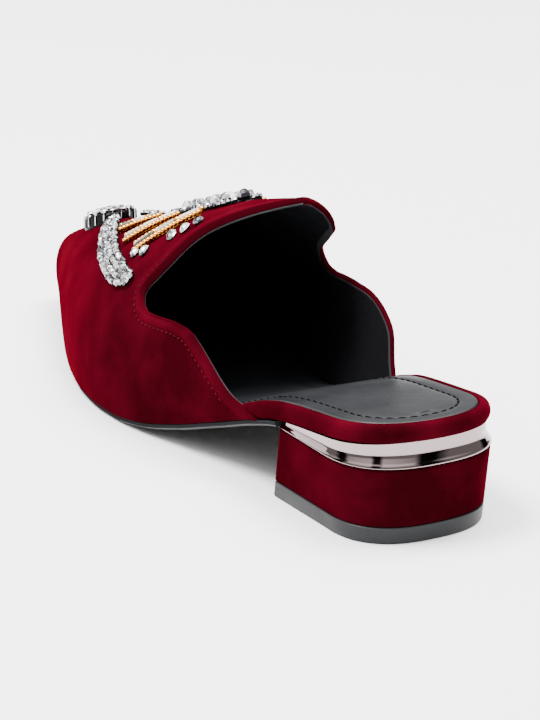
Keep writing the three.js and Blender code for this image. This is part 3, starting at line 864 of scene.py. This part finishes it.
def makeHeelCollar():
    top = last["blockTopZ"]
    cove = curve(coveRows, 1)
    shares = [i / heel["collarSteps"] for i in range(heel["collarSteps"] + 1)]
    levels = [(top, cove(0), width, 0) for width in (0, 0.5)]
    levels += [(top, cove(share), 1, share) for share in shares]
    levels += [(top, cove(1), width, 1) for width in (0.5, 0)]
    bm = heelPiece(levels, collarHeight)
    finishPiece(bm, "metal_heel_collar", ["mirror"], ["heel_collar"], smoothTo=50)


makeTopPiece()
makeBlock()
makeHeelCollar()
print("heel done")


# Many small things from one small shape each, joined
cut = {
    "facets": 8,
    "crown": {"radius1": 1, "radius2": 0.8, "depth": 0.34},
    "crownUp": 0.56,
    "table": {"thickness": 0.36, "depth": 0.27},
    "setting": {"radius1": 0.8, "radius2": 0.96, "depth": 0.38},
    "settingUp": 0.19,
    "beadFaces": (8, 5),  # around, up
    "tube": {"thickness": 0.38, "depth": 0.35},
}
settingIndex = 1  # a setting takes the second material of its piece


def template(make):
    bm = bmesh.new()
    make(bm)
    bmesh.ops.recalc_face_normals(bm, faces=bm.faces)
    return toMesh(bm, "template")


def facetedCone(bm, up, cone):
    spot = Matrix.Translation((0, 0, up))
    bmesh.ops.create_cone(bm, cap_ends=True, segments=cut["facets"], matrix=spot, **cone)


def cutStone(bm):
    # a crown of two rows of facets with a small table, on a setting that is marked as such
    facetedCone(bm, cut["crownUp"], cut["crown"])
    top = max(bm.faces, key=lambda face: face.calc_center_median().z)
    bmesh.ops.inset_region(bm, faces=[top], **cut["table"])
    facets = set(bm.faces)
    facetedCone(bm, cut["settingUp"], cut["setting"])
    for face in bm.faces:
        face.material_index = 0 if face in facets else settingIndex


def bead(bm):
    around, up = cut["beadFaces"]
    bmesh.ops.create_uvsphere(bm, u_segments=around, v_segments=up, radius=1)
    for face in bm.faces:
        face.smooth = True


def baguette(bm):
    bmesh.ops.create_cube(bm, size=2)
    top = [f for f in bm.faces if f.normal.z > 0.5]
    bmesh.ops.inset_region(bm, faces=top, **cut["tube"])


shapes = {"stone": template(cutStone), "bead": template(bead), "baguette": template(baguette)}


def place(bm, shape, spot, size, material=0, lift=0.0, spin=0.0, lean=0.0):
    # a spot is point, direction and normal; sizes are along, across and up
    # each stone and each facet gets its own painted glint
    at, along, normal = spot
    paintedGlint = bm.faces.layers.float.get("paintedGlint") or bm.faces.layers.float.new("paintedGlint")
    before = len(bm.verts)
    facesBefore = len(bm.faces)
    tone = rng.random()
    bm.from_mesh(shapes[shape])
    bm.verts.ensure_lookup_table()
    bm.faces.ensure_lookup_table()
    across = normal.cross(along).normalized()
    turn = Matrix((normal.cross(across) * -1, across, normal)).transposed().to_4x4()
    tilt = Matrix.Rotation(rng.uniform(-lean, lean), 4, "X")
    tilt = tilt @ Matrix.Rotation(rng.uniform(-lean, lean), 4, "Y")
    move = Matrix.Translation(at + normal * lift) @ turn @ tilt @ Matrix.Rotation(spin, 4, "Z")
    move = move @ Matrix.Diagonal((*size, 1))
    for vert in bm.verts[before:]:
        vert.co = move @ vert.co * mm
    for face in bm.faces[facesBefore:]:
        if face.material_index != settingIndex:
            face.material_index = material
        face[paintedGlint] = (tone + rng.random()) / 2


def evenSpots(points, spacing, need):
    # number of the stretch, spot and direction at even steps along a line of points
    spots = []
    for i, (a, b) in enumerate(zip(points, points[1:])):
        length = (b - a).length
        while need <= length:
            spots.append((i, a.lerp(b, need / length), (b - a).normalized()))
            need += spacing
        need -= length
    return spots


def lineOnSkin(points, spacing):
    # even spots along a line of (x, side, girth), with its direction and the skin's normal
    placed = [skinFrame(*p) for p in points]
    spots = evenSpots([here for here, _, _ in placed], spacing, spacing / 2)
    return [(spot, along, placed[i][2]) for i, spot, along in spots]


# Joint of the metal band on the outer side
joint = {"share": 0.61, "rise": 0.76, "size": (0.85, 0.11, 0.06)}


def makeJoint():
    bm = bmesh.new()
    x, y = heelPoint(joint["share"], 1, last["blockTopZ"], coveRows[-1][1])
    at = Vector((x, y, collarHeight(x, joint["rise"])))
    place(bm, "baguette", (at, Vector((0, 0, 1)), Vector((0, 1, 0))), joint["size"])
    finishPiece(bm, "metal_joint", ["silver"], smoothTo=0, weld=0)


makeJoint()

# Stitches along the collar and on the sock
collarSeam = {
    "size": (0.55, 0.17, 0.17),
    "spacing": 2.3,
    "lift": 0.12,
    "girths": (0.07, 0.62),
    "steps": 240,
    "searchX": 30,
    "searchSteps": 24,
}
sockSeam = {"size": (1.3, 0.3, 0.2), "spacing": 3.4, "lift": 0.12, "steps": 400}


def offsetX(side, girth, distance):
    def nearer(x):
        return fromCollar(upperPoint(x, side, girth)) < distance

    start = side["collar"](girth)
    return border(start, start + collarSeam["searchX"], collarSeam["searchSteps"], nearer)


def makeCollarStitches():
    bm = bmesh.new()
    steps = collarSeam["steps"]
    girths = [lerp(*collarSeam["girths"], i / steps) for i in range(steps + 1)]
    for side in (outer, inner):
        line = [(offsetX(side, girth, upper["stitchIn"]), side, girth) for girth in girths]
        for spot in lineOnSkin(line, collarSeam["spacing"]):
            place(bm, "bead", spot, collarSeam["size"], 0, collarSeam["lift"])
    finishPiece(bm, "collar_stitches", ["stitch"], smoothTo=80, weld=0)


def makeSockStitches():
    bm = bmesh.new()
    line = []
    count = sockSeam["steps"]
    lift = sockSeam["lift"] - sock["groove"]
    for i in range(count + 1):
        u = i / count
        side = outer if u <= 0.5 else inner
        line.append(sockPoint(planAlong(u, evenSpacing), side, sock["stitchIn"], 1, 1, lift))
    line = line[count // 2 :] + line[: count // 2]  # from the toe round the heel
    line = [p for p in line if p.x < sock["stitchFromX"]]
    for _, at, along in evenSpots(line, sockSeam["spacing"], 0):
        place(bm, "bead", (at, along, Vector((0, 0, 1))), sockSeam["size"])
    finishPiece(bm, "sock_stitches", ["thread"], smoothTo=80, weld=0)


makeCollarStitches()
makeSockStitches()
print("stitches done")

# Jewelled trim
trimLift = 0.3
plateWeld = 0.005
sides = (("outer", outer), ("inner", inner))


def backing(bm, rows, high, material):
    # low plate on rows of points of the skin, over the top and back underneath
    count = len(rows) - 1
    over = [(k, trimLift + high) for k in range(len(rows[0]))]
    under = [(k, trimLift) for k in reversed(range(len(rows[0])))]
    ring = over + under + over[:1]

    def level(u, v):
        k, lift = ring[round(u * (len(ring) - 1))]
        here, _, normal = skinFrame(*rows[round(v * count)][k])
        return here + normal * lift

    made = sheetGrid(bm, len(ring) - 1, count, level)
    for face in {f for v in made for f in v.link_faces}:
        face.material_index = material
    bmesh.ops.remove_doubles(bm, verts=made, dist=plateWeld * mm)
    bmesh.ops.holes_fill(bm, edges=[e for e in bm.edges if e.is_boundary], sides=0)


crescent = {
    "steps": 60,
    "stoneRows": ((-0.8, 0.97), (-0.27, 1.0), (0.27, 1.0), (0.8, 0.97)),  # place across, reach
    "stone": 1.1,
    "stoneHigh": 2.0,
    "sizes": (0.9, 1.08),
    "gap": 0.1,
    "lift": 0.9,
    "spin": 0.8,
    "lean": 0.22,
    "plateHigh": 0.8,
    "plateShort": 2,
}
crescentRows = [  # x, girth, half width along the foot, half width round the girth
    (115.5, 0.492, -0.1, 0.014), (122, 0.497, -0.4, 0.038), (134, 0.535, -0.8, 0.05),
    (149, 0.6, -1.2, 0.05), (164, 0.69, -1.5, 0.044), (177, 0.8, -1.5, 0.036), (184, 0.9, -0.6, 0.012),
]


def makeCrescent(label, side):
    bm = bmesh.new()
    girthAtX, dxAt, dgAt = (curve(crescentRows, k) for k in (1, 2, 3))
    steps = crescent["steps"]
    xs = [lerp(crescentRows[0][0], crescentRows[-1][0], i / steps) for i in range(steps + 1)]
    r = crescent["stone"]
    short = crescent["plateShort"]

    def spotAt(x, k):
        return x + k * dxAt(x), side, girthAtX(x) + k * dgAt(x)

    for k, reach in crescent["stoneRows"]:
        off = round(steps / 2 * (1 - reach))
        line = [spotAt(x, k) for x in xs[off : steps + 1 - off]]
        for spot in lineOnSkin(line, 2 * r + crescent["gap"]):
            width = r * rng.uniform(*crescent["sizes"])
            spin = rng.uniform(0, crescent["spin"])
            size = (width, width, crescent["stoneHigh"])
            place(bm, "stone", spot, size, 0, crescent["lift"], spin, crescent["lean"])
    rows = [[spotAt(x, k) for k in (-1, -0.5, 0, 0.5, 1)] for x in xs[short:-short]]
    backing(bm, rows, crescent["plateHigh"], 1)
    name = "crescent_" + label
    finishPiece(bm, name + "_stones", ["stone", "jet"], [name], smoothTo=0, weld=0)


strip = {
    "ends": [((165, 0.77), (153, 0.93)), ((148, 0.69), (134, 0.89)), ((131, 0.635), (115, 0.86))],
    "steps": 20,
    "halfX": 2.0,
    "halfGirth": 0.018,
    "bead": 0.9,
    "beadSpacing": 1.5,
    "beadLift": 1.3,
    "tubes": 3,
    "tubeGap": 0.8,
    "tubeWide": 0.85,
    "tubeHigh": 0.6,
    "tubeLift": 1.5,
    "plateHigh": 0.6,
}


def makeStrip(label, side, index, ends):
    bm = bmesh.new()
    (x0, g0), (x1, g1) = ends

    def lineAt(k):
        shares = [i / strip["steps"] for i in range(strip["steps"] + 1)]
        dx, dg = k * strip["halfX"], k * strip["halfGirth"]
        return [(lerp(x0, x1, t) + dx, side, lerp(g0, g1, t) + dg) for t in shares]

    for k in (-1, 1):
        for spot in lineOnSkin(lineAt(k), strip["beadSpacing"]):
            place(bm, "bead", spot, (strip["bead"],) * 3, 0, strip["beadLift"])
    line = lineAt(0)
    length = sum((skinFrame(*b)[0] - skinFrame(*a)[0]).length for a, b in zip(line, line[1:]))
    each = length / strip["tubes"]
    size = (each / 2 - strip["tubeGap"], strip["tubeWide"], strip["tubeHigh"])
    for spot in lineOnSkin(line, each):
        place(bm, "baguette", spot, size, 1, strip["tubeLift"])
    backing(bm, list(zip(*(lineAt(k) for k in (-1, 0, 1)))), strip["plateHigh"], 0)
    name = "strip_" + label + "_" + str(index)
    finishPiece(bm, name + "_jewels", ["gold", "clear"], [name], smoothTo=0, weld=0)


cluster = {
    "steps": 40,
    "lift": 0.45,
    "stoneHigh": 3.5,
    "spin": math.pi / 8,
    "lean": 0.2,
    "edgeSize": (1.1, 1.1, 1.9),
    "edgeSpacing": 2.5,
    "edgeLift": 0.4,
    "edgeSpin": 0.8,
    "plateHigh": 0.3,
}
clusterRows = [  # x, girth spread to each side
    (104.5, 0.05), (108, 0.085), (114, 0.1), (124, 0.09), (138, 0.07), (148, 0.05),
]
clusterStones = [  # x, girth off the ridge, size along, size across
    (107, 0.0, 2.0, 2.0), (112, 0.036, 2.7, 2.3), (112, -0.038, 2.5, 2.3),
    (113.5, 0.085, 1.6, 1.6), (113.5, -0.085, 1.6, 1.6), (118.2, 0.0, 3.4, 2.7),
    (119.5, 0.066, 2.0, 1.9), (119.5, -0.066, 2.0, 1.9), (124.5, 0.0, 3.6, 2.8),
    (125, 0.068, 1.8, 1.8), (125, -0.068, 1.8, 1.8), (131.5, 0.035, 2.7, 2.2),
    (131.5, -0.035, 2.7, 2.2), (138, 0.0, 3.2, 2.4), (144.5, 0.0, 2.2, 2.0),
]


def makeCluster():
    bm = bmesh.new()
    spread = curve(clusterRows, 1)
    rows = []
    for i in range(cluster["steps"] + 1):
        x = lerp(clusterRows[0][0], clusterRows[-1][0], i / cluster["steps"])
        s = spread(x)
        across = ((outer, s), (outer, s / 2), (outer, 0), (inner, s / 2), (inner, s))
        rows.append([(x, side, 1 - off) for side, off in across])
    for x, off, long, wide in clusterStones:
        spot = skinFrame(x, outer if off >= 0 else inner, 1 - abs(off))
        size = (long, wide, cluster["stoneHigh"])
        place(bm, "stone", spot, size, 0, cluster["lift"], cluster["spin"], cluster["lean"])
    for k in (0, 4):
        for spot in lineOnSkin([row[k] for row in rows], cluster["edgeSpacing"]):
            spin = rng.uniform(0, cluster["edgeSpin"])
            place(bm, "stone", spot, cluster["edgeSize"], 0, cluster["edgeLift"], spin, cluster["lean"])
    backing(bm, rows, cluster["plateHigh"], 1)
    looks = ["stone", "jet"]
    finishPiece(bm, "ridge_cluster_stones", looks, ["ridge_cluster"], smoothTo=0, weld=0)


single = {
    "spots": [  # x, girth, size
        (128, 0.615, 1.7), (122, 0.622, 1.8), (113.5, 0.70, 1.9), (109, 0.735, 1.7), (106, 0.775, 1.6),
    ],
    "across": 1.35,
    "high": 1.9,
    "spin": 0.7,
    "lean": 0.15,
}


def makeSingles():
    bm = bmesh.new()
    for _, side in sides:
        for x, girth, long in single["spots"]:
            spin = rng.uniform(0, single["spin"])
            size = (long, long * single["across"], single["high"])
            place(bm, "stone", skinFrame(x, side, girth), size, 0, 0, spin, single["lean"])
    finishPiece(bm, "single_stones", ["stone", "jet"], smoothTo=0, weld=0)


button = {
    "x": 197.0,
    "radius": 8.8,
    "high": 3.9,
    "crown": 1.4,
    "around": 48,
    "profile": (  # share of the radius, share of the height
        (0, 0), (0.5, 0), (1, 0), (1.0, 0.4), (1.0, 0.8), (0.95, 0.95), (0.7, 1), (0.35, 1), (0, 1),
    ),
    "claws": 18,
    "clawSize": (1.7, 0.24, 0.3),
    "clawRise": 0.55,
    "clawOut": 0.05,
    "bead": 0.6,
    "beadUp": 1.9,
    "beadIn": 0.3,
    "rings": ((1, 0, 2.6), (13, 0.78, 1.55), (6, 0.45, 1.3)),  # stones, share of the radius, size
    "stoneHigh": 1.5,
    "stoneSink": 0.2,
    "searchGirth": (0.4, 1.0),
    "searchSteps": 30,
    "weld": 0.01,
}


def skinZ(x, y):
    side = outer if y > ridgeY(x) else inner

    def outside(girth):
        return (upperPoint(x, side, girth).y - y) * side["sign"] > 0

    return upperPoint(x, side, border(*button["searchGirth"], button["searchSteps"], outside)).z


def makeButton():
    bm = bmesh.new()
    middle = Vector((button["x"], ridgeY(button["x"]), ridgeZ(button["x"])))
    slope = ridgeZ(button["x"] + 0.5) - ridgeZ(button["x"] - 0.5)  # rise over 1 mm
    along = Vector((1, 0, slope)).normalized()
    normal = Vector((-slope, 0, 1)).normalized()
    up = Vector((0, 0, 1))
    profile = button["profile"]

    def offset(share, turn):
        reach = button["radius"] * share
        return Vector((reach * math.cos(turn), reach * math.sin(turn), 0))

    def top(share, dx):
        return slope * dx + button["high"] - button["crown"] * share**2

    def domeHeight(spot, share, rise):
        low = skinZ(spot.x, spot.y) + trimLift
        return lerp(low, middle.z + top(share, spot.x - middle.x), rise)

    def at(u, v):
        share, rise = profile[round(v * (len(profile) - 1))]
        spot = middle + offset(share, 2 * math.pi * u)
        spot.z = domeHeight(spot, share, rise)
        return spot

    for i in range(button["claws"]):
        out = offset(1, 2 * math.pi * i / button["claws"]).normalized()
        foot = middle + out * button["radius"]
        foot.z = domeHeight(foot, 1, button["clawRise"])
        tip = foot + up * button["beadUp"] - out * button["beadIn"]
        place(bm, "baguette", (foot, up, out), button["clawSize"], 1, button["clawOut"])
        place(bm, "bead", (tip, up, out), (button["bead"],) * 3, 1)
    for count, share, size in button["rings"]:
        for i in range(count):
            turn = 2 * math.pi * i / count
            seat = middle + offset(share, turn)
            seat.z += top(share, seat.x - middle.x) - button["stoneSink"]
            place(bm, "stone", (seat, along, normal), (size, size, button["stoneHigh"]), 2, 0, turn)
    dome = sheetGrid(bm, button["around"], len(profile) - 1, at)
    bmesh.ops.remove_doubles(bm, verts=dome, dist=button["weld"] * mm)
    looks = ["jet", "silver", "stone"]
    finishPiece(bm, "toe_button_stones", looks, ["toe_button"], smoothTo=30, weld=0)


for label, side in sides:
    makeCrescent(label, side)
    for index, ends in enumerate(strip["ends"]):
        makeStrip(label, side, index + 1, ends)
makeCluster()
makeSingles()
makeButton()
print("trim done")

# Floor, lights and camera
stage = {
    "floor": (0.86, 0.86, 0.86, 1),
    "floorHalf": 6,
    "floorRough": 0.9,
    "horizon": 0.45,
    "zenith": 4.2,
    "skyRise": (0.35, 0.95),
    "panels": 5,
    "panelTurn": -0.52,
    "panelRange": (-0.9, -0.45, 0.02, 1.0),
    "overhead": (0.55, 0.8),
    "lights": [  # place, aim, size, watts
        ((0.3, 0.6, 1.45), (0.1, 0, 0.03), 0.6, 60),
        ((0.0, -0.5, 1.6), (0.08, 0, 0.03), 0.8, 50),
        ((0.85, 0.31, 0.445), (0, 0.02, 0.025), 0.5, 2),  # faint panel that the metal mirrors
    ],
    "camera": (-0.7006, 0.4254, 0.3321),
    "aim": (0.0934, -0.0084, 0.0179),
    "lens": 150,
    "sensor": 36,
}


def aimed(data, spot, aim):
    thing = addObject(data.name, data)
    thing.location = spot
    thing.rotation_euler = (Vector(aim) - Vector(spot)).to_track_quat("-Z", "Y").to_euler()
    return thing


def makeFloor():
    bm = bmesh.new()
    bmesh.ops.create_grid(bm, x_segments=1, y_segments=1, size=stage["floorHalf"])
    mesh = toMesh(bm, "floor")
    mesh.materials.append(plainMaterial("pale_floor", stage["floor"], stage["floorRough"]))
    floor = addObject("floor", mesh)


def makeWorld():
    # a soft sky that brightens overhead, on walls of light panels with dark gaps
    world = bpy.data.worlds.new("studio")
    world.use_nodes = True
    tree = world.node_tree
    background = tree.nodes["Background"]
    coords = tree.nodes.new("ShaderNodeTexCoord")
    parts = tree.nodes.new("ShaderNodeSeparateXYZ")
    tree.links.new(coords.outputs["Generated"], parts.inputs["Vector"])
    sky = addRange(tree, parts.outputs["Z"], *stage["skyRise"], stage["horizon"], stage["zenith"])
    turn = addMath(tree, "ARCTAN2", parts.outputs["Y"], parts.outputs["X"])
    wave = addMath(tree, "ADD", addMath(tree, "MULTIPLY", turn, stage["panels"]), stage["panelTurn"])
    panel = addRange(tree, addMath(tree, "SINE", wave, 0.0), *stage["panelRange"])
    overhead = addRange(tree, parts.outputs["Z"], *stage["overhead"])
    walls = addMath(tree, "MAXIMUM", panel, overhead)
    tree.links.new(addMath(tree, "MULTIPLY", sky, walls), background.inputs["Strength"])
    background.inputs["Color"].default_value = (1, 1, 1, 1)
    bpy.context.scene.world = world


def makeLights():
    for i, (spot, aim, size, watts) in enumerate(stage["lights"]):
        lamp = bpy.data.lights.new("soft_light_" + str(i + 1), "AREA")
        lamp.size = size
        lamp.energy = watts
        aimed(lamp, spot, aim)


def makeCamera():
    data = bpy.data.cameras.new("camera")
    data.lens = stage["lens"]
    data.sensor_width = stage["sensor"]
    bpy.context.scene.camera = aimed(data, stage["camera"], stage["aim"])


makeFloor()
makeWorld()
makeLights()
makeCamera()
print("stage and camera done")
